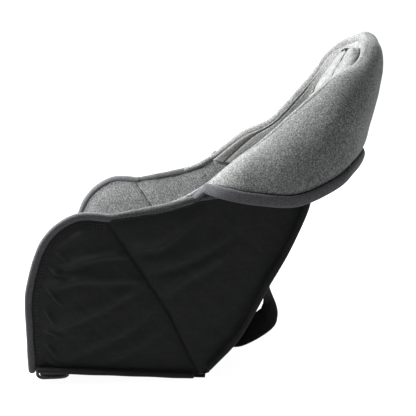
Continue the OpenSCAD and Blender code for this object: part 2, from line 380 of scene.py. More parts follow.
def subdivide(obj, levels=1):
    modifier = obj.modifiers.new("smooth", "SUBSURF")
    modifier.levels = levels
    modifier.render_levels = levels
    apply_modifiers(obj)


def inflate(obj, voxel=4.5, pressure=4.0, cap=5.0, frames=20):
    """Blows the closed piece up as cloth under pressure, moves no point by more than cap, and smooths it."""
    remesh = obj.modifiers.new("even", "REMESH")
    remesh.mode = "VOXEL"
    remesh.voxel_size = voxel * MM
    apply_modifiers(obj)
    before = points_of(obj)
    cloth = obj.modifiers.new("cloth", "CLOTH")
    cloth.settings.use_pressure = True
    cloth.settings.uniform_pressure_force = pressure
    cloth.settings.quality = 5
    cloth.settings.effector_weights.gravity = 0
    cloth.point_cache.frame_start = 1
    cloth.point_cache.frame_end = frames
    for step in range(1, frames + 1):
        scene.frame_set(step)
    apply_modifiers(obj)
    scene.frame_set(1)
    shift = points_of(obj) - before
    size = np.linalg.norm(shift, axis=1, keepdims=True)
    limit = np.minimum(1, cap / np.maximum(size, 1e-9))
    move_points(obj, before + shift * limit)
    subdivide(obj)
    return obj


# ---- materials ----

def put(node, **values):
    """Sets sockets to fixed values; an underscore stands for a space in the socket's name."""
    for name, value in values.items():
        node.inputs[name.replace("_", " ")].default_value = value


class Nodes:
    """Short names for building a procedural material about one Principled shader."""

    def __init__(self, name):
        self.material = bpy.data.materials.new(name)
        self.material.use_nodes = True
        self.tree = self.material.node_tree
        self.shader = self.tree.nodes["Principled BSDF"]
        coords = self.tree.nodes.new("ShaderNodeTexCoord")
        self.place = coords.outputs["Object"]

    def add(self, kind, **values):
        node = self.tree.nodes.new(kind)
        for key, value in values.items():
            setattr(node, key, value)
        return node

    def join(self, source, target):
        self.tree.links.new(source, target)

    def noise(self, size, detail=2.0, rough=0.5):
        """Noise with lumps of that size in millimetres."""
        node = self.add("ShaderNodeTexNoise")
        put(node, Scale=1 / (size * MM), Detail=detail, Roughness=rough)
        self.join(self.place, node.inputs["Vector"])
        return node.outputs["Fac"]

    def wave(self, pitch, axis, bend=0.6):
        """Ribs across an axis, that far apart in millimetres."""
        node = self.add("ShaderNodeTexWave", bands_direction=axis)
        put(node, Scale=0.314 / (pitch * MM), Distortion=bend, Detail=1)
        self.join(self.place, node.inputs["Vector"])
        return node.outputs["Fac"]

    def ramp(self, source, *stops):
        node = self.add("ShaderNodeValToRGB")
        ramp = node.color_ramp
        while len(ramp.elements) < len(stops):
            ramp.elements.new(0.5)
        for element, (at, colour) in zip(ramp.elements, stops):
            element.position = at
            element.color = (*colour, 1)
        self.join(source, node.inputs["Fac"])
        return node.outputs["Color"]

    def tone(self, source, low, high, tint=(1, 1, 1)):
        """Greys from low to high over the middle of the source's range."""
        return self.ramp(source, (0.3, grey(low, tint)), (0.7, grey(high, tint)))

    def times(self, first, second):
        node = self.add("ShaderNodeMix", data_type="RGBA", blend_type="MULTIPLY")
        node.inputs["Factor"].default_value = 1.0
        self.join(first, node.inputs[6])
        self.join(second, node.inputs[7])
        return node.outputs[2]

    def sum(self, first, second, weight=1.0):
        node = self.add("ShaderNodeMath", operation="MULTIPLY_ADD")
        self.join(second, node.inputs[0])
        node.inputs[1].default_value = weight
        self.join(first, node.inputs[2])
        return node.outputs[0]

    def finish(self, colour, rough, height, depth, sheen=0.0, tint=(1, 1, 1), specular=0.3):
        """Links colour, roughness and bump, and sets the shader's fixed values."""
        self.join(colour, self.shader.inputs["Base Color"])
        self.join(rough, self.shader.inputs["Roughness"])
        bump = self.add("ShaderNodeBump")
        put(bump, Strength=0.8, Distance=depth * MM)
        self.join(height, bump.inputs["Height"])
        self.join(bump.outputs["Normal"], self.shader.inputs["Normal"])
        put(self.shader, Sheen_Weight=sheen, Sheen_Roughness=0.5, Sheen_Tint=(*tint, 1),
            Specular_IOR_Level=specular)
        return self.material


def grey(value, tint=(1, 1, 1)):
    return tuple(value * c for c in tint)


def melange(name, dark, light, tint):
    """Brushed heather jersey: dark and pale fibres spun together, with a soft nap."""
    m = Nodes(name)
    fibres = m.noise(1.9, 3, 0.8)
    tufts = m.noise(5.5, 2, 0.6)
    wear = m.noise(70, 2)
    mixed = m.sum(fibres, tufts, 0.12)
    colour = m.ramp(mixed, (0.4, grey(dark, tint)), (0.56, grey((dark + light) / 2.3, tint)),
                    (0.72, grey(light, tint)))
    shade = m.tone(wear, 0.82, 1.0)
    colour = m.times(colour, shade)
    rough = m.tone(fibres, 0.86, 1.0)
    nap = m.sum(m.noise(1.1, 3, 0.8), fibres, 0.8)
    return m.finish(colour, rough, nap, 0.7, 0.12, (0.95, 0.98, 1.0), 0.08)


def woven(name, base, pitch, tint, rough, depth=0.25, sheen=0.02, spread=0.35, specular=0.12):
    """Plain woven cloth: warp and weft ribs with slubs and faint rubbed patches."""
    m = Nodes(name)
    warp = m.wave(pitch, "Y")
    weft = m.wave(pitch, "Z")
    weave = m.sum(warp, weft)
    slubs = m.noise(3.5, 3, 0.7)
    rubbed = m.noise(55, 3, 0.6)
    threads = m.ramp(m.sum(slubs, weave, 0.25), (0.4, grey(base * (1 - spread), tint)),
                     (1.0, grey(base * (1 + spread), tint)))
    patches = m.tone(rubbed, 0.85, 1.0)
    colour = m.times(threads, patches)
    gloss = m.tone(rubbed, rough - 0.08, rough + 0.08)
    return m.finish(colour, gloss, m.sum(weave, slubs, 1.2), depth, sheen, (1, 1, 1), specular)


def knitted(name, base, tint):
    """Ribbed knitted tape: fine ribs over a soft two-tone yarn."""
    m = Nodes(name)
    ribs = m.sum(m.wave(1.9, "DIAGONAL", 1.5), m.noise(1.4, 3, 0.7), 1.4)
    yarn = m.noise(2.2, 3, 0.7)
    colour = m.tone(yarn, base * 0.6, base * 1.45, tint)
    rough = m.tone(yarn, 0.8, 0.98)
    return m.finish(colour, rough, ribs, 0.4, 0.1, (0.9, 0.92, 1.0), 0.1)


def moulded(name, base, cell, rough):
    """Moulded sheet stock with a fine grain."""
    m = Nodes(name)
    grain = m.noise(cell, 4, 0.6)
    colour = m.tone(grain, base * 0.8, base * 1.2)
    gloss = m.tone(grain, rough - 0.07, rough + 0.07)
    return m.finish(colour, gloss, grain, 0.2, 0.0, (1, 1, 1), 0.4)


MELANGE = melange("melange_jersey", 0.029, 0.26, (0.98, 1.0, 0.99))
# A paler copy of the melange jersey for the inside of the hood: painted light, lighter to stand for the light
# that falls inside the hood.
LIT_HOOD_LINING = melange("lit_lining_jersey", 0.07, 0.31, (1.0, 1.0, 0.985))
RAIL_JERSEY = melange("rail_melange", 0.018, 0.09, (0.97, 1.0, 1.0))
NYLON = woven("nylon_cover", 0.0125, 0.7, (0.93, 1.0, 0.98), 0.6)
BINDING = knitted("knitted_binding", 0.054, (0.98, 0.98, 1.05))
PIPING = woven("piping_cloth", 0.012, 0.9, (0.95, 1.0, 1.02), 0.75, 0.3)
WEBBING = woven("loop_webbing", 0.024, 1.6, (0.97, 1.0, 1.0), 0.62, 0.6)
FLAP = knitted("flap_cloth", 0.05, (0.98, 0.97, 1.08))
THREAD = woven("sewing_thread", 0.035, 0.5, (1, 1, 1), 0.5, 0.1)
BOARD = moulded("stiffener_board", 0.06, 0.8, 0.55)


# ---- attaching pieces and hiding CAD nodes ----

def settle(obj, body, nodes=()):
    """The piece rides on a body and stands for its CAD nodes, which are hidden."""
    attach(obj, body)
    declare(obj, nodes)
    return obj


def declare(obj, nodes):
    if nodes:
        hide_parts(*nodes)


def lay_sheet(face):
    """Measures the longest run of the face each way and the area of its cells, and keeps none of them."""
    wide = np.linalg.norm(np.diff(face, axis=1), axis=2).sum(1).max()
    tall = np.linalg.norm(np.diff(face, axis=0), axis=2).sum(0).max()
    corner = face[:-1, :-1]
    cells = np.linalg.norm(np.cross(face[1:, :-1] - corner, face[:-1, 1:] - corner), axis=2).sum()


def rear_angles():
    rear = back_at(np.linspace(0.02, 0.62, 40), COVER_T + GAP) - HINGE
    reach = np.hypot(rear[:, 0], rear[:, 1])
    return reach, np.arctan2(rear[:, 1], -rear[:, 0])


REAR_REACH, REAR_ANGLE = rear_angles()


def fan_share(points):
    """0 on the base and 1 along the rear edge: how far a point of a side wall turns with the backrest."""
    y, z = points[:, 1] - HINGE[0], points[:, 2] - HINGE[1]
    angle = np.arctan2(z, -y)
    rear = np.interp(np.hypot(y, z), REAR_REACH, REAR_ANGLE)
    low = BASE_TILT
    return np.clip((angle - low) / (rear - low), 0, 1)


def fan(obj, nodes=()):
    """Bakes the piece's transform and hides its CAD nodes; how far each point would turn with the backrest is
    worked out but not kept.
    """
    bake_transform(obj)
    share = fan_share(points_of(obj)).astype(np.float32)
    declare(obj, nodes)
    return obj


# ---- camera, light and floor ----

VIEW_AZIMUTH = math.radians(3)      # from the seat's right side, turned towards its head end
VIEW_HEIGHT = math.radians(11)
VIEW_ROLL = math.radians(-3.3)
VIEW_DISTANCE = 1.3
VIEW_SHIFT = (-0.0057, -0.0218)     # from the middle of the CAD box, in y and z
LENS = 73.1
FLOOR_REACH = 12000
FLOOR_GLOW = 0.96                   # keeps the floor white though it throws back little light
WORLD_LEFT = 1.05                   # strength of the surroundings on the seat's left side
WORLD_RIGHT = 0.25


def add_camera():
    centre = (np.array(cad_box[0]) + np.array(cad_box[1])) / 2
    target = Vector((0, centre[1] + VIEW_SHIFT[0], centre[2] + VIEW_SHIFT[1]))
    azimuth, height, roll = VIEW_AZIMUTH, VIEW_HEIGHT, VIEW_ROLL
    flat = math.cos(height)
    back = Vector((flat * math.cos(azimuth), flat * math.sin(azimuth), math.sin(height)))
    level = Vector((-math.sin(azimuth), math.cos(azimuth), 0))
    above = back.cross(level)
    right = level * math.cos(roll) + above * math.sin(roll)
    up = above * math.cos(roll) - level * math.sin(roll)
    data = bpy.data.cameras.new("camera")
    data.lens = LENS
    data.sensor_width = 36
    camera = place("camera", data)
    turn = Matrix((right, up, back)).transposed().to_4x4()
    camera.matrix_world = Matrix.Translation(target + back * VIEW_DISTANCE) @ turn
    scene.camera = camera


def add_area(name, spot, aim, size, energy):
    data = bpy.data.lights.new(name, "AREA")
    data.size = size
    data.energy = energy
    lamp = place(name, data)
    lamp.location = spot
    lamp.rotation_euler = (Vector(aim) - Vector(spot)).to_track_quat("-Z", "Y").to_euler()


def add_stage():
    m = Nodes("pale_floor")
    grain = m.noise(40, 3)
    colour = m.tone(grain, 0.11, 0.13)
    rough = m.tone(grain, 0.85, 0.95)
    m.finish(colour, rough, grain, 0.05, 0.0, (1, 1, 1), 0.2)
    put(m.shader, Emission_Color=(1, 1, 1, 1), Emission_Strength=FLOOR_GLOW)
    floor_z = min(cad_box[0][2], 0) / MM - 0.3
    corners = [[x * FLOOR_REACH, y * FLOOR_REACH, floor_z] for x, y in ((-1, -1), (1, -1), (1, 1), (-1, 1))]
    floor = make_mesh("floor", corners, [[0, 1, 2, 3]], m.material)
    world = bpy.data.worlds.new("studio")
    scene.world = world
    world.use_nodes = True
    tree = world.node_tree
    backdrop = tree.nodes["Background"]
    put(backdrop, Color=(1, 1, 1, 1))
    way = tree.nodes.new("ShaderNodeTexCoord")
    parts = tree.nodes.new("ShaderNodeSeparateXYZ")
    fade = tree.nodes.new("ShaderNodeMapRange")
    put(fade, From_Min=-0.5, From_Max=0.5, To_Min=WORLD_LEFT, To_Max=WORLD_RIGHT)
    tree.links.new(way.outputs["Generated"], parts.inputs[0])
    tree.links.new(parts.outputs["X"], fade.inputs["Value"])
    tree.links.new(fade.outputs["Result"], backdrop.inputs["Strength"])


def light_studio():
    middle = (0, 0, 0.22)
    add_area("front_top", (-0.85, -1.0, 1.85), middle, 0.8, 75)
    add_area("inner_fill", (0.0, -0.52, 0.56), (-0.1, 0.06, 0.27), 0.35, 20)
    add_area("overhead_back", (-1.8, 0.2, 1.7), middle, 1.2, 105)
    add_area("far_side", (-1.7, -0.5, 1.1), middle, 1.2, 15)


add_camera()
add_stage()
light_studio()
scene.view_settings.view_transform = "Standard"


# ---- side walls ----

ARC_TOP = [[-250, 79], [-245, 134], [-219, 198], [-178, 228], SEAM_TOP]
ARC = np.concatenate([base_at(BASE_D, COVER_T - 0.8), ARC_TOP])
RAIL = np.array([SEAM_TOP, [-110, 229], [-59, 236], [-28, 245], WING_TIP])
ARC_PATH = even(curve(ARC, 120), 80)
RAIL_PATH = even(curve(RAIL, 80), 40)
CREASE = base_at(12, COVER_T - 0.8)[0]
REAR_FOOT = back_at(0.03, COVER_T + GAP)[0]
REAR_HEAD = back_at(0.5, COVER_T + GAP)[0]
REAR_PATH = back_at(np.linspace(0.03, 0.5, 50), COVER_T + GAP)
BASE_PATH = np.array([CREASE, ARC_PATH[0]])
SEAM_PATH = even(np.array([SEAM_TOP, [-99, 165], [-60, 95], [-27, 8]], float), 40)

CROWN_H = 4.2           # how far the stuffed wall bulges between its seams
FOLD_GAIN = 2.4         # folds stand this much higher than the heights listed
PUCKER_H = 3.0
PUCKER_W = 3.4
GATHERS = 19            # small waves along the front binding

# Loose cloth over the side wall: [y, z] routes of soft folds, with height and width
FOLDS = [
    ([[-197, 166], [-165, 176], [-135, 180], [-108, 180]], 2.2, 9),
    ([[-224, 139], [-180, 148], [-140, 146], [-90, 146]], 2.0, 11),
    ([[-87, 146], [-108, 130], [-155, 106], [-205, 86], [-232, 80]], 2.0, 12),
    ([[-76, 112], [-115, 78], [-165, 56], [-207, 36]], 1.8, 13),
    ([[-60, 82], [-105, 52], [-155, 30]], 1.3, 12),
    ([[-200, 196], [-175, 210], [-150, 216]], 1.2, 10),
    ([[-106, 190], [-80, 190], [-55, 196], [-10, 232]], 2.2, 12),
    ([[-85, 160], [-45, 167], [-10, 181], [30, 204]], 2.2, 13),
    ([[-62, 126], [-40, 141], [-5, 160], [25, 178]], 2.2, 14),
    ([[10, 90], [45, 122], [80, 165]], 1.0, 16),
    ([[-10, 50], [15, 62], [40, 85]], 1.0, 9),
]
# Short sharp puckers where the cloth is gathered into the front binding
PUCKERS = [
    [[-207, 189], [-195, 176]],
    [[-219, 168], [-207, 158]],
    [[-222, 160], [-193, 156]],
    [[-226, 142], [-218, 128], [-208, 115]],
    [[-231, 108], [-221, 90]],
    [[-233, 78], [-218, 70]],
    [[-233, 58], [-223, 40]],
    [[-234, 34], [-216, 22]],
]


def fold_height(yz, route, height, width, sharp=0.45):
    """A soft ridge that is steeper on its lower side."""
    path = curve(route, 14)
    if path[0][0] > path[-1][0]:
        path = path[::-1]
    signed, share = near_path(yz, path)
    wide = np.where(signed > 0, width, width * sharp)
    ends = np.sin(math.pi * np.clip(0.08 + 0.84 * share, 0, 1)) ** 0.7
    dip = 0.35 * bell(signed, width * 0.5, -width * 0.8)
    return height * ends * (bell(signed, wide) - dip)


def puff(distance, width):
    return 1 - np.exp(-np.abs(distance) / width)


def wall_height(yz):
    """How far the outer cloth of a side wall stands out from its seams, in mm."""
    arc, rail, rear, base, seam = (np.abs(near_path(yz, path)[0])
                                   for path in (ARC_PATH, RAIL_PATH, REAR_PATH, BASE_PATH, SEAM_PATH))
    crown = puff(arc, 9) * puff(rail, 12) * puff(rear, 9) * puff(base, 9) * puff(seam, 7)
    height = CROWN_H * crown
    for route, tall, wide in FOLDS:
        height += FOLD_GAIN * crown * fold_height(yz, route, tall, wide)
    for route in PUCKERS:
        height += puff(arc, 2.5) * fold_height(yz, route, PUCKER_H, PUCKER_W, 0.7)
    gather = np.sin(near_path(yz, ARC_PATH)[1] * 2 * math.pi * GATHERS + 2 * ripple(yz, 60, 4))
    height += 0.5 * gather * np.exp(-arc / 12) * puff(arc, 3)
    height += 0.45 * crown * ripple(yz, 34, 11) + 0.2 * crown * ripple(yz, 13, 12)
    height -= 1.6 * bell(seam, 1.6)
    return height


def wall_grid(overlap, columns=300, rows=110):
    """Fan of [y, z] points over a side wall, past its edge by overlap where a binding covers it."""
    link = np.linspace(0, 1, 30)[1:, None]
    edge = np.concatenate([ARC_PATH, RAIL_PATH[1:], mix(RAIL_PATH[-1], REAR_HEAD, link)])
    out = unit(edge - np.array([-60, 90.0]))
    corner = len(ARC_PATH) + len(RAIL_PATH) - 1
    along = np.arange(len(edge))
    grow = overlap * smooth(along / 4) * np.where(along < corner, 1, smooth(1 - (along - corner) / 12))
    edge = even(edge + out * grow[:, None], columns)
    edge[0] = ARC_PATH[0]
    share = np.linspace(0, 1, columns)
    turn = smooth((share - 0.68) / 0.32)[:, None]
    start = mix(CREASE, REAR_FOOT, turn)
    way = np.linspace(0, 1, rows)
    bow = even(REAR_PATH, rows) - mix(REAR_FOOT, REAR_HEAD, way[:, None])
    return mix(start[:, None], edge[:, None], way[None, :, None]) + turn[:, None] * bow[None]


def wall_outer_x(yz):
    return HALF_W - 3.4 + wall_height(yz)


def lining_height(yz):
    edges = [ARC_PATH, RAIL_PATH, SEAM_PATH]
    crown = np.prod([puff(near_path(yz, path)[0], 10) for path in edges], axis=0)
    seam = np.abs(near_path(yz, SEAM_PATH)[0])
    lumps = lumpy(yz, (0.5, 60, 21), (0.25, 22, 22))
    return crown * (2.2 + lumps) - 1.4 * bell(seam, 1.5)


def with_x(grid, x):
    return np.concatenate([np.asarray(x).reshape(*grid.shape[:2], 1), grid], 2)


def mirrored(points, sign):
    return points * np.array([sign, 1, 1])


def inset_path(path, by):
    """The path moved by that much towards the middle of the side wall."""
    way = course(path)
    return path + by * right_of(way)


def add_walls():
    grid = wall_grid(4.5)
    flat = grid.reshape(-1, 2)
    outer = with_x(grid, wall_outer_x(flat))
    hidden = with_x(grid, np.full(len(flat), HALF_W - 6.5))
    inner_grid = wall_grid(4.5, 200, 70)
    inner_flat = inner_grid.reshape(-1, 2)
    lining = with_x(inner_grid, HALF_W - WALL_T + 1.4 - lining_height(inner_flat))
    lining_back = with_x(inner_grid, np.full(len(inner_flat), HALF_W - 6.9))
    for side, sign in SIDES.items():
        panel = closed_shell("side_panel_" + side, mirrored(outer, sign), mirrored(hidden, sign), NYLON)
        fan(panel, [f"gusset_{end}_{layer}_{side}" for end in ("front", "rear")
                                   for layer in ("outer", "foam")])
        sheets = [mirrored(sheet, sign) for sheet in (lining, lining_back)]
        inside = closed_shell("side_lining_" + side, *sheets, MELANGE)
        fan(inside, [f"gusset_{end}_lining_{side}" for end in ("front", "rear")])
        groove = at_x(HALF_W - WALL_T + 1.2 - lining_height(SEAM_PATH), SEAM_PATH)
        fan(tube(f"lining_seam_{side}", mirrored(groove, sign), SEAM_R, PIPING, sides=8))
        for row, by in enumerate((3.4, 6.6)):
            line = inset_path(ARC_PATH[3:], by)
            path = mirrored(at_x(wall_outer_x(line) + 0.2, line), sign)
            fan(stitches(f"arc_stitches_{row}_{side}", path, THREAD))
        for row, by in enumerate((-3.0, 3.0)):
            line = inset_path(SEAM_PATH[2:-2], by)
            path = mirrored(at_x(wall_outer_x(line) + 0.1, line), sign)
            fan(stitches(f"seam_stitches_{row}_{side}", path, PIPING, 2.4, 1.4, 0.3))


def knit_lumps(path, size, seed):
    return 1 + size * ripple(path, 22, seed, 5)


def add_bindings():
    arc = inset_path(ARC_PATH, -(BINDING_R + 0.8))
    arc = np.concatenate([arc, [arc[-1] + [4, 0.6]]])
    rail_route = [[-136, 232], [-110, 235], [-59, 241.5], [-30, 248], [-8, 253], [14, 256], [38, 255]]
    rail = even(curve(rail_route, 140), 110)
    swell = np.linspace(0, 1, len(rail))
    for side, sign in SIDES.items():
        path = at_x(BINDING_X, arc)
        size = BINDING_R * knit_lumps(path, 0.03, 3)
        binding = tube("edge_binding_" + side, mirrored(path, sign), size, BINDING)
        fan(binding, ["arc_binding_" + side])
        twist = bell(swell, 0.05, 0.73)
        reach = 5.2 + 1.6 * smooth(swell / 0.35) - 1.7 * twist
        lean_out = 0.6 + 1.8 * smooth((swell - 0.2) / 0.4)
        centre = at_x(BINDING_X + lean_out - 4 * smooth((swell - 0.75) / 0.2), rail)
        size = reach * knit_lumps(centre, 0.05, 8)
        roll = tube("top_roll_" + side, mirrored(centre, sign), size, RAIL_JERSEY, flat=0.92)
        fan(roll, ["top_rail_" + side])
        # A thin near-black cord along the roll's lower edge: painted shadow, a dark line laid where the roll
        # shades the wall beneath it.
        under = centre + np.array([4.2, 0, -4.6]) * (0.4 + 0.6 * smooth(swell / 0.1))[:, None]
        line = tube("top_roll_shadow_line_" + side, mirrored(under, sign), FINE_PIPING_R, PIPING, sides=10)
        fan(line)


add_walls()
add_bindings()


# ---- cowl ----

def lean(s):
    """Direction in which the cowl leans out at station s: sideways at the tip, rearwards at the head."""
    angle = math.pi / 2 * np.clip(s, 0, 1) ** 1.6
    return np.stack([np.cos(angle), np.sin(angle), np.zeros_like(angle)], 1)


LEFT_SAG = 15           # how far the left crest hangs lower halfway up
HEAD_PUSH = (8, -10)    # how far the crest beside the head moves back, on the right and on the left
HEAD_RISE = (-11, 2)    # and how far it rises


def folded(s):
    """Stations run from the right tip (0) over the head (1) to the left tip (2); both sides count from 0."""
    return np.where(s > 1, 2 - s, s)


def crest_at(s):
    """Crest of the cowl at stations s, before mirroring. Its left side has sagged and leans forward."""
    fold = folded(s)
    crest = catmull(CREST, fold)
    left = (s > 1).astype(float)
    crest[:, 2] -= LEFT_SAG * left * bell(fold, 0.14, 0.40)
    head = bell(fold, 0.13, 0.76)
    crest[:, 1] += mix(*HEAD_PUSH, left) * head
    crest[:, 2] += mix(*HEAD_RISE, left) * head
    return crest, fold


def left_over(vectors, s):
    """The same vectors, with those of the left side mirrored."""
    vectors[s > 1, ..., 0] *= -1
    return vectors


def with_leads(lead, run):
    """The run with a lead before it and the lead's mirror image after it."""
    tail = lead[::-1] * [-1, 1, 1] if lead.ndim == 2 else lead[::-1]
    return np.concatenate([lead, run, tail])


def cowl_points(s, t, depth):
    """Points of the cowl for each station s (rows) and share t down the section (columns)."""
    crest, fold = crest_at(s)
    hem, out = catmull(HEM, fold), lean(fold)
    hem = hem - 7 * smooth((fold - 0.6) / 0.3)[:, None] * out
    drop = (crest - hem)[:, 2:]
    fade = np.minimum(1, drop / 60)
    rise = AXIS_Z[None]
    station = fold[:, None]
    a = crest - depth * rise
    b = crest + mix(14, 46, station) * fade * out + 0.02 * drop * rise - depth * (rise + 0.7 * out)
    c = hem + 0.5 * drop * rise + mix(4, 37, station) * fade * out - depth * out
    d = hem - depth * out
    t = np.asarray(t)[..., None]
    if t.ndim == 2:
        t = t[None]
    u = 1 - t
    points = (u ** 3 * a[:, None] + 3 * u * u * t * b[:, None] + 3 * u * t * t * c[:, None]
              + t ** 3 * d[:, None])
    return left_over(points, s)


BAND_H = 14            # height of the knitted band along the hem
TIP_SHARE = 0.03
STATIONS = np.linspace(TIP_SHARE, 2 - TIP_SHARE, 260)


def band_top(s):
    """Share down each section where the knitted band begins."""
    t = np.linspace(0, 1, 60)
    points = cowl_points(s, t, 0)
    run = np.cumsum(np.linalg.norm(np.diff(points, axis=1), axis=2), axis=1)
    run = np.column_stack([np.zeros(len(s)), run])
    want = np.maximum(run[:, -1] - BAND_H, 1.5)
    return np.array([np.interp(w, r, t) for w, r in zip(want, run)])


def add_cowl():
    top = band_top(STATIONS)
    share = np.linspace(0, 1, 44)[None] * top[:, None]
    outer = cowl_points(STATIONS, share, 0)
    inner = cowl_points(STATIONS, share, COWL_T - 2.1)
    lining = cowl_points(STATIONS, share, COWL_T - 1.7)
    inside = cowl_points(STATIONS, share, COWL_T)
    above_band = 1 - share / top[:, None]
    out = left_over(lean(folded(STATIONS)), STATIONS)
    normal = out[:, None] + 0.5 * AXIS_Z * above_band[..., None]
    flat = outer.reshape(-1, 3)
    lumps = lumpy(flat, (0.8, 95, 31), (0.35, 38, 32)).reshape(outer.shape[:2])
    edge = np.minimum(1, above_band * 9)
    roll = 1.3 * bell(above_band / 0.06, 1, 1)
    outer = outer + unit(normal) * ((lumps + 0.6) * edge + roll - 0.8 * (edge < 0.12))[..., None]
    shell = closed_shell("cowl_quilt", outer, inner, MELANGE)
    settle(shell, "back", ["cowl", "cowl_foam"])
    under = settle(closed_shell("cowl_inside", lining, inside, NYLON), "back", ["cowl_lining"])
    lay_sheet(lining)

    head = cowl_points(STATIONS, top[:, None], 0)[:, 0]
    foot = cowl_points(STATIONS, np.ones((len(STATIONS), 1)), 0)[:, 0]
    down = unit(foot - head)
    face = unit(np.cross(np.gradient(foot, axis=0), down))
    line = (head + foot) / 2
    half = np.maximum(np.linalg.norm(foot - head, axis=1) / 2, 5.5) + 1.2
    puffed = BAND_T * (1 + 0.05 * ripple(line, 40, 41))
    centre = line - face * 3.1 + down * 0.4
    lead = catmull([[161, -22, 252], [163, -13, 256], centre[0] + [0, 0.4, 0]], np.linspace(0, 0.93, 12))
    grow = np.linspace(0.45, 0.97, 12)
    across = with_leads(np.repeat(face[:1], len(lead), 0), face)
    along = with_leads(np.repeat(down[:1], len(lead), 0), down)
    puffed = np.concatenate([grow * puffed[0], puffed, grow[::-1] * puffed[-1]])
    half = np.concatenate([grow * half[0], half, grow[::-1] * half[-1]])
    band = sweep("hem_band", with_leads(lead, centre), across, along, puffed, half, BINDING, 28, 0.85)
    settle(band, "back", ["cowl_band"])
    piping = tube("hem_piping", head + face, FINE_PIPING_R, PIPING, AXIS_Z, 12)
    settle(piping, "back")


def add_crest():
    crest, fold = crest_at(STATIONS)
    crest = left_over(crest, STATIONS)
    out = left_over(lean(fold), STATIONS)
    radius = mix(*CREST_R, smooth(fold / 0.2)) * (1 + 0.04 * ripple(crest, 45, 51))
    centre = crest - AXIS_Z * (radius[:, None] + 0.2) + out * (radius[:, None] * 0.25)
    lead = catmull([[158, -48, 246], [158, -38, 249], [157, -22, 255], centre[0]], np.linspace(0, 0.96, 20))
    centre = with_leads(lead, centre)
    radius = with_leads(np.linspace(3.4, CREST_R[0], 20), radius)
    roll = tube("crest_roll", centre, radius, MELANGE, AXIS_Z, 24)
    settle(roll, "back", ())


def wing_points(s, v, lift):
    """Inner wall beside the head, from under the crest (v 0) to the backrest (v 1)."""
    crest, fold = crest_at(s)
    out = lean(fold)
    foot = back_at(mix(0.43, 0.955, fold ** 0.85), 3.8)
    top = crest - AXIS_Z * (COWL_T + 1.5)
    top[:, 0] = np.minimum(crest[:, 0] - 4, INNER_W + 0.5)
    top[:, 1] += 3 * out[:, 1]
    foot = np.column_stack([np.minimum(crest[:, 0] * 0.93, INNER_W - 2), foot])
    v = np.asarray(v)[None, :, None]
    points = mix(top[:, None], foot[:, None], v)
    thick = lift * mix(0.25, 1, smooth(fold / 0.25))[:, None, None]
    points = points + (3 * np.sin(math.pi * v) - thick) * out[:, None]
    return left_over(points, s)


def add_wings():
    stations = np.linspace(0.01, 1.99, 250)
    v = np.linspace(0, 1, 30)
    back = wing_points(stations, v, 0)
    face = wing_points(stations, v, WING_T)
    toward = unit(face - back)
    flat = face.reshape(-1, 3)
    lumps = lumpy(flat, (0.6, 70, 61), (0.3, 26, 62)).reshape(face.shape[:2])
    crown = np.sin(math.pi * np.clip(v * 1.05, 0, 1))[None] ** 0.6
    face = face + toward * (crown * (2.6 + lumps) - 1.4)[..., None]
    fold = folded(stations)
    groove = bell(v, 0.03, 0.13)
    rolled = smooth(fold / 0.06) * smooth((0.62 - fold) / 0.1)
    face = face - toward * (2.4 * rolled[:, None] * groove[None])[..., None]
    # The hood lining takes the paler copy of the melange: painted light on the inside of the hood.
    wall = closed_shell("hood_lining", face, back, LIT_HOOD_LINING)
    # Thin near-black cords in the groove under the crest roll: partly the seam's thread line, partly painted
    # shade for the dark crease beneath the roll.
    for side, keep in (("right", stations < 0.55), ("left", stations > 1.45)):
        line = (face + toward * 0.2)[keep][:, 4]
        settle(tube("crest_seam_and_shade_" + side, line, 0.8, PIPING, AXIS_Z, 8), "back")
    settle(wall, "back", ["wing_lining_right", "wing_lining_left", "head_rim"])


add_cowl()
add_crest()
add_wings()


# ---- backrest ----

PAD_BACK = 3.8          # depth of the back of the padding from the rear face
PAD_TOP_Z = 441
WING_FOOT_Z = 262       # above this the cowl closes in behind the backrest


def pad_edge(z):
    """Half width of the backrest padding at height z."""
    fold = np.linspace(0.05, 1, 60)
    foot = back_at(mix(0.43, 0.955, fold ** 0.85), 3.8)[:, 1]
    reach = np.minimum(catmull(CREST, fold)[:, 0] * 0.93, INNER_W - 2) - (WING_T - 4) * lean(fold)[:, 0]
    upper = np.interp(z, foot, reach)
    cap = 116 * np.sqrt(np.clip(1 - ((z - 372) / (PAD_TOP_Z - 372)) ** 2, 0, 1))
    upper = np.where(z > 372, cap, upper)
    lower = INNER_W - 1
    return np.where(z < 235, lower, np.minimum(lower, mix(lower, upper, smooth((z - 235) / 25))))


OVAL = np.array([[0, 438], [26, 432], [41, 412], [46, 388], [38, 364], [20, 350], [0, 345]], float)
OVAL_PATH = np.concatenate([curve(OVAL, 40),
                            (catmull(OVAL, np.linspace(1, 0, 40)) * [-1, 1])[1:]])
OVAL_MIDDLE = [0, 392]
OVAL_HALF = 46
QUILT_SEAMS = [
    [[-46, 392], [0, 398], [46, 392]],
    [[-42, 372], [0, 376], [42, 372]],
    [[0, 345], [-34, 322], [-80, 318], [-122, 331]],
    [[0, 345], [34, 322], [80, 318], [122, 331]],
    [[-118, 300], [-112, 200], [-104, 100], [-98, 40]],
    [[118, 300], [112, 200], [104, 100], [98, 40]],
    [[-110, 176], [0, 168], [110, 176]],
]


def padding(rows, square):
    """Shares across a cushion, and how full it is at each row and share, rounded off at the edges."""
    across = np.linspace(-1, 1, 61)
    rim = np.clip(1 - np.abs(across) ** square, 0, 1) ** 0.5
    ends = np.clip(1 - np.abs(np.linspace(-1, 1, rows)) ** 24, 0, 1) ** 0.5
    return across, rim[None] * ends[:, None]


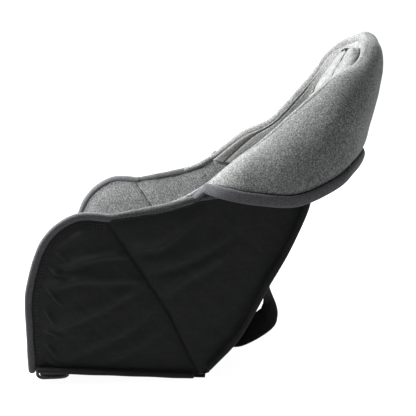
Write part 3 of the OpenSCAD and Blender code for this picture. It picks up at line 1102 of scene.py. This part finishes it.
def add_back_cushion():
    shares = np.linspace(0.085, 1, 90)
    spine = back_at(shares, PAD_BACK)
    keep = spine[:, 1] <= PAD_TOP_Z - 1
    shares = shares[keep]
    spine = spine[keep]
    half = pad_edge(spine[:, 1])
    thick = PAD_T * smooth((shares - 0.06) / 0.17) + 1.5
    across, body = padding(len(shares), 8)
    normal = left_of(heading(REAR, shares))
    rear = at_grid(across, half, spine, normal, np.full(body.shape, 0.8))
    front = at_grid(across, half, spine, normal, 1.4 + thick[:, None] * body)
    cushion = closed_shell("back_cushion", front, rear, MELANGE)
    inflate(cushion, 4.2, 4.0, 3.5)
    quilt_back(cushion)
    settle(add_oval_seam(cushion), "back")
    settle(cushion, "back", ["back_pad", "back_lining", "head_pillow"])


def add_oval_seam(cushion):
    """A dark line round the head pillow, laid on the front of the sewn cushion."""
    front = points_of(cushion)[normals_of(cushion)[:, 1] < -0.3]
    seam = []
    for x, z in even(OVAL_PATH, 120):
        gap = np.hypot(front[:, 0] - x, front[:, 2] - z)
        near = np.argsort(gap)[:6]
        seam.append([x, front[near, 1].min() - 0.5, z])
    return tube("oval_seam", np.array(seam), SEAM_R, PIPING, AXIS_Z, 8)


def at_grid(across, half, spine, normal, lift):
    yz = spine[:, None] + normal[:, None] * lift[..., None]
    x = (across[None] * half[:, None])[..., None]
    return np.concatenate([x, yz], 2)


def sewn_in(flat, routes, count, deep):
    """How far the seams along those routes pull the padding in, in mm."""
    pull = np.zeros(len(flat))
    for route in routes:
        d = near_path(flat, curve(route, count))[0]
        pull += deep * np.exp(-np.abs(d) / 4.5) + 0.9 * bell(d, 1.8)
    return pull


def quilt_back(cushion):
    """Sews the seams into the front of the padding and stuffs the head pillow."""
    points, normals = points_of(cushion), normals_of(cushion)
    flat = points[:, [0, 2]]
    facing = smooth((-normals[:, 1] - 0.15) / 0.3) * (points[:, 2] > 30)
    signed = near_path(flat, OVAL_PATH)[0]
    inside = np.linalg.norm((flat - OVAL_MIDDLE) / OVAL_HALF, axis=1) < 1.02
    oval = np.abs(signed)
    shift = np.where(inside, 6.5 * puff(oval, 9), 3.2 * np.exp(-oval / 22)) - 1.8 * bell(oval, 2.2)
    shift -= sewn_in(flat, QUILT_SEAMS, 24, 2.8)
    shift += lumpy(flat, (0.5, 48, 71), (0.25, 17, 72))
    move_points(cushion, points + normals * (facing * shift)[:, None])


def laid_flat(across, half, run):
    """Places across each row, and the same points as [x, run] pairs."""
    x = across[None] * half[:, None]
    return x, np.stack([x.ravel(), np.repeat(run, len(across))], 1)


def add_back_cloth():
    shares = np.linspace(0.02, 0.97, 120)
    spine = catmull(REAR, shares)
    normal = left_of(heading(REAR, shares))
    fold = np.linspace(2 / 7, 1, 60)
    crest = catmull(CREST, fold)
    z = spine[:, 1]
    half = np.interp(z, crest[:, 2] - 20, np.minimum(HALF_W, crest[:, 0] - 15))
    narrow = mix(HALF_W, 140, smooth((z - WING_FOOT_Z) / 20))
    half = np.where(z < WING_FOOT_Z, HALF_W - 0.5, np.minimum(half, narrow))
    across = np.linspace(-1, 1, 90)
    x, flat = laid_flat(across, half, z)
    edge = np.abs(1 - np.abs(across))[None] * half[:, None]
    soft = puff(edge, 12) * smooth((shares[:, None] - 0.03) / 0.08)
    lumps = (0.7 * ripple(flat, 120, 81) + 0.4 * ripple(flat * [1, 2.2], 60, 82)).reshape(x.shape)
    rear = at_grid(across, half, spine, normal, -soft * (0.9 + 0.8 * lumps))
    front = at_grid(across, half, spine, normal, np.full(x.shape, COVER_T))
    cloth = closed_shell("back_cloth", rear, front, NYLON)
    settle(cloth, "back", ["back_cover"])
    lay_sheet(rear)


def add_pipings():
    rear = back_at(np.linspace(0.035, 0.53, 70), PIPING_R)
    base = base_at(np.linspace(14, BASE_D - 5, 60), PIPING_R)
    for side, sign in SIDES.items():
        for name, run, body in (("back", rear, "back"), ("base", base, "seat")):
            path = at_x(HALF_W + PIPING_R + GAP, run)
            radius = PIPING_R * (1 + 0.05 * ripple(path, 35, 91))
            cord = tube(f"{name}_cord_{side}", mirrored(path, sign), radius, PIPING)
            settle(cord, body, [f"{name}_piping_{side}"])
            tape = path - np.array([5.2, 0, 0]) + at_x(0, unit(run - np.array([-40, 110.0])) * -3.4)
            strip = tube(f"{name}_tape_{side}", mirrored(tape, sign), TAPE_R, PIPING, flat=1.2, sides=12)
            settle(strip, body)


add_back_cushion()
add_back_cloth()
add_pipings()


# ---- seat ----

def add_seat_cushion():
    depth = np.linspace(36, 229, 60)
    top = np.interp(depth, [34, 100, 205, 222, 230], [5.5, 20, 22.5, 19, 12])
    across, body = padding(len(depth), 10)
    half = np.full(len(depth), INNER_W - 2.5)
    spine = base_at(depth, SEAT_STACK)
    normal = np.broadcast_to([math.sin(BASE_TILT), math.cos(BASE_TILT)], spine.shape)
    low = at_grid(across, half, spine, normal, np.full(body.shape, 0.6))
    high = at_grid(across, half, spine, normal, 1.2 + top[:, None] * body)
    cushion = closed_shell("seat_cushion", high, low, MELANGE)
    inflate(cushion, 4.2, 4.0, 3.0)
    points, normals = points_of(cushion), normals_of(cushion)
    flat = points[:, :2]
    facing = smooth((normals[:, 2] - 0.3) / 0.3)
    shift = lumpy(flat, (0.6, 55, 101), (0.3, 19, 102))
    seams = [[[-104, -60], [-112, -150], [-104, -205], [-70, -222], [0, -224], [70, -222], [104, -205],
              [112, -150], [104, -60]],
             [[-110, -132], [0, -126], [110, -132]]]
    shift -= sewn_in(flat, seams, 60, 2.6)
    move_points(cushion, points + normals * (facing * shift)[:, None])
    settle(cushion, "seat", ["seat_pad", "seat_lining"])


def add_base_cloth():
    depth = np.linspace(0, BASE_D, 60)
    across = np.linspace(-1, 1, 80)
    spine = base_at(depth, 0)
    spine[:, 1] = np.maximum(spine[:, 1], 0)
    spine = np.concatenate([[[-15, 0]], spine])
    normal = np.broadcast_to([0.0, 1.0], spine.shape)
    half = np.full(len(spine), HALF_W)
    x, flat = laid_flat(across, half, spine[:, 0])
    lumps = np.abs(ripple(flat, 90, 111)).reshape(x.shape)
    rise = smooth(np.arange(len(spine)) / 20)[:, None] * np.minimum(1, (1 - np.abs(across)) * 12)[None]
    low = at_grid(across, half, spine, normal, 0.8 * lumps * rise)
    high = at_grid(across, half, spine, normal, np.full(x.shape, COVER_T))
    cloth = closed_shell("base_cloth", low, high, NYLON)
    settle(cloth, "seat", ["base_cover"])
    lay_sheet(low)


def add_front_edge():
    edge = base_at(BASE_D + 1, COVER_T + BINDING_R + 1)[0]
    x = np.linspace(-INNER_W - 3, INNER_W + 3, 120)
    path = np.column_stack([x, np.full(len(x), edge[0]), np.full(len(x), edge[1])])
    path[:, 2] += 0.4 * ripple(path, 90, 121)
    roll = tube("front_edge_roll", path, (BINDING_R - 1) * knit_lumps(path, 0.04, 122), BINDING, AXIS_Z)
    settle(roll, "seat", ["front_edge_binding"])


def add_crease():
    outline = np.array([[-15, 0.6], [-10, 2.4], [-7.4, 6.6], [-8.6, 8.6],
                        [-11, 6.2], [-15.4, 2.6], [-18, 3.4], [-19, 1.2]])
    ring = closed_ring(outline, 32)
    x = np.linspace(-INNER_W, INNER_W, 120)
    wobble = 0.25 * np.sin(x / 7.0) + 0.2 * np.sin(x / 3.1)
    rings = [at_x(a, np.column_stack([ring[:, 0], np.maximum(ring[:, 1] + w, 0.2)]))
             for a, w in zip(x, wobble)]
    web = loft("crease_cloth", rings, NYLON)
    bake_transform(web)
    declare(web, ["crease_web"])


LINING_T = 1.8          # thickness of the cloth in the crease


def add_crease_lining():
    """Melange cloth that closes the gap between the two cushions at the crease."""
    on_seat = [base_at(52, SEAT_STACK + 9), base_at(40, SEAT_STACK + 5.5), base_at(27, 9.5), base_at(14, 9.0)]
    on_back = [back_at(0.05, 7.5), back_at(0.09, 8.5), back_at(0.15, 13)]
    route = np.concatenate([*on_seat, [[-26, 12]], *on_back])
    run = even(curve(route, 80), 40)
    way = course(run)
    under = run + LINING_T * left_of(way)
    across = np.linspace(-INNER_W + 1, INNER_W - 1, 80)
    wobble = 0.4 * np.sin(across / 9.0) + 0.3 * np.sin(across / 4.3)
    rows = [np.stack([at_x(a, run + w * way[:, ::-1] * [-1, 1]) for a, w in zip(across, wobble)]),
            np.stack([at_x(a, under) for a in across])]
    cloth = closed_shell("crease_lining", rows[0], rows[1], MELANGE)
    fan(cloth)
    lay_sheet(rows[0])


add_crease_lining()
add_seat_cushion()
add_base_cloth()
add_front_edge()
add_crease()


# ---- webbing loops ----

LOOP_X = 98
LOOP_W = 45
LOOP_T = 2.5
LOOP_TWIST = math.radians(30)


def add_loops():
    hanging = [[84, 92], [84, 78], [77, 66], [42, 44]]
    route = np.concatenate([back_at(0.235, -0.8), back_at(0.21, -1.2), hanging,
                            back_at(0.08, -1.2), back_at(0.055, -0.8)])
    run = even(curve(route, 160), 120)
    way = course(run)
    out = right_of(way)
    centre = run - out * (LOOP_T / 2 - 0.4)
    free = np.sin(math.pi * np.linspace(0, 1, len(centre))) ** 1.5
    for side, sign in SIDES.items():
        path = at_x(LOOP_X + LOOP_W / 2, centre)
        path[:, 1] -= 6 * free
        path[:, 0] += 0.8 * np.sin(np.linspace(0, 5, len(path)))
        twist = (LOOP_TWIST * free)[:, None]
        across = np.cos(twist) * AXIS_X - np.sin(twist) * at_x(0, out)
        face = np.cos(twist) * at_x(0, out) + np.sin(twist) * AXIS_X
        across, face = mirrored(across, sign), mirrored(face, sign)
        middle = mirrored(path, sign)
        strap = sweep(f"webbing_loop_{side}", middle, across, face, LOOP_W / 2, LOOP_T / 2, WEBBING, 40, 0.35)
        settle(strap, "back", ["rear_loop_" + side])
        reach = across * (LOOP_W / 2 - 0.5)
        lay_sheet(np.stack([middle - reach, middle + reach]))
        for end, share in (("top", 0.225), ("foot", 0.068)):
            spot = back_at(share, -3.0)[0]
            xs = np.linspace(LOOP_X + 4, LOOP_X + LOOP_W - 4, 30)
            for row, by in (("a", -2.5), ("b", 2.5)):
                yz = spot + by * heading(REAR, share)[0]
                line = np.column_stack([xs, np.tile(yz, (len(xs), 1))])
                name = f"loop_stitches_{end}_{row}_{side}"
                bar = stitches(name, mirrored(line, sign), THREAD, 2.6, 1.2, 0.4)
                settle(bar, "back")


# ---- front flap ----

FLAP_PIVOT = [-249, 9]
FLAP_NOSE = 8           # radius of the rolled edge round the pivot
FLAP_HALF = INNER_W - 3


def add_flap():
    nose = [[FLAP_PIVOT[0] + FLAP_NOSE * math.cos(a), FLAP_PIVOT[1] + FLAP_NOSE * math.sin(a)]
            for a in np.radians([100, 140, 180, 220, 262])]
    tail = [[-236, 0.6], [-220, 0.6], [-211, 3], [-208.5, 7], [-211, 10.5], [-218, 12.4], [-236, 14.5]]
    outline = np.array(nose + tail)
    ring = closed_ring(outline, 48)
    middle = ring.mean(0)
    rings = []
    for x in np.linspace(-FLAP_HALF, FLAP_HALF, 90):
        scale = 0.84 + 0.1 * puff(FLAP_HALF - abs(x), 6)
        rings.append(at_x(x, middle + (ring - middle) * scale))
    flap = loft("front_flap_roll", rings, FLAP)
    inflate(flap, 3.6, 4.0, 1.6)
    points = points_of(flap)
    points[:, 2] = np.maximum(points[:, 2], 0.1)
    move_points(flap, points)
    settle(flap, "front_flap", ["flap_face", "flap_pad", "flap_backing"])
    line = middle + (even(np.concatenate([ring, ring[:1]]), 90) - middle) * [0.9, 0.76]
    for side, sign in SIDES.items():
        path = at_x(FLAP_HALF + 1, line)
        size = FLAP_EDGE_R * knit_lumps(path, 0.04, 131)
        edge = tube("flap_edge_" + side, mirrored(path, sign), size, BINDING)
        settle(edge, "front_flap", ["flap_binding_" + side])


add_loops()
add_flap()


# ---- stiffeners that stay as the CAD made them ----

for stiffener in ("seat_board", "back_board"):
    for slot in frame["nodes"][stiffener].material_slots:
        slot.material = BOARD
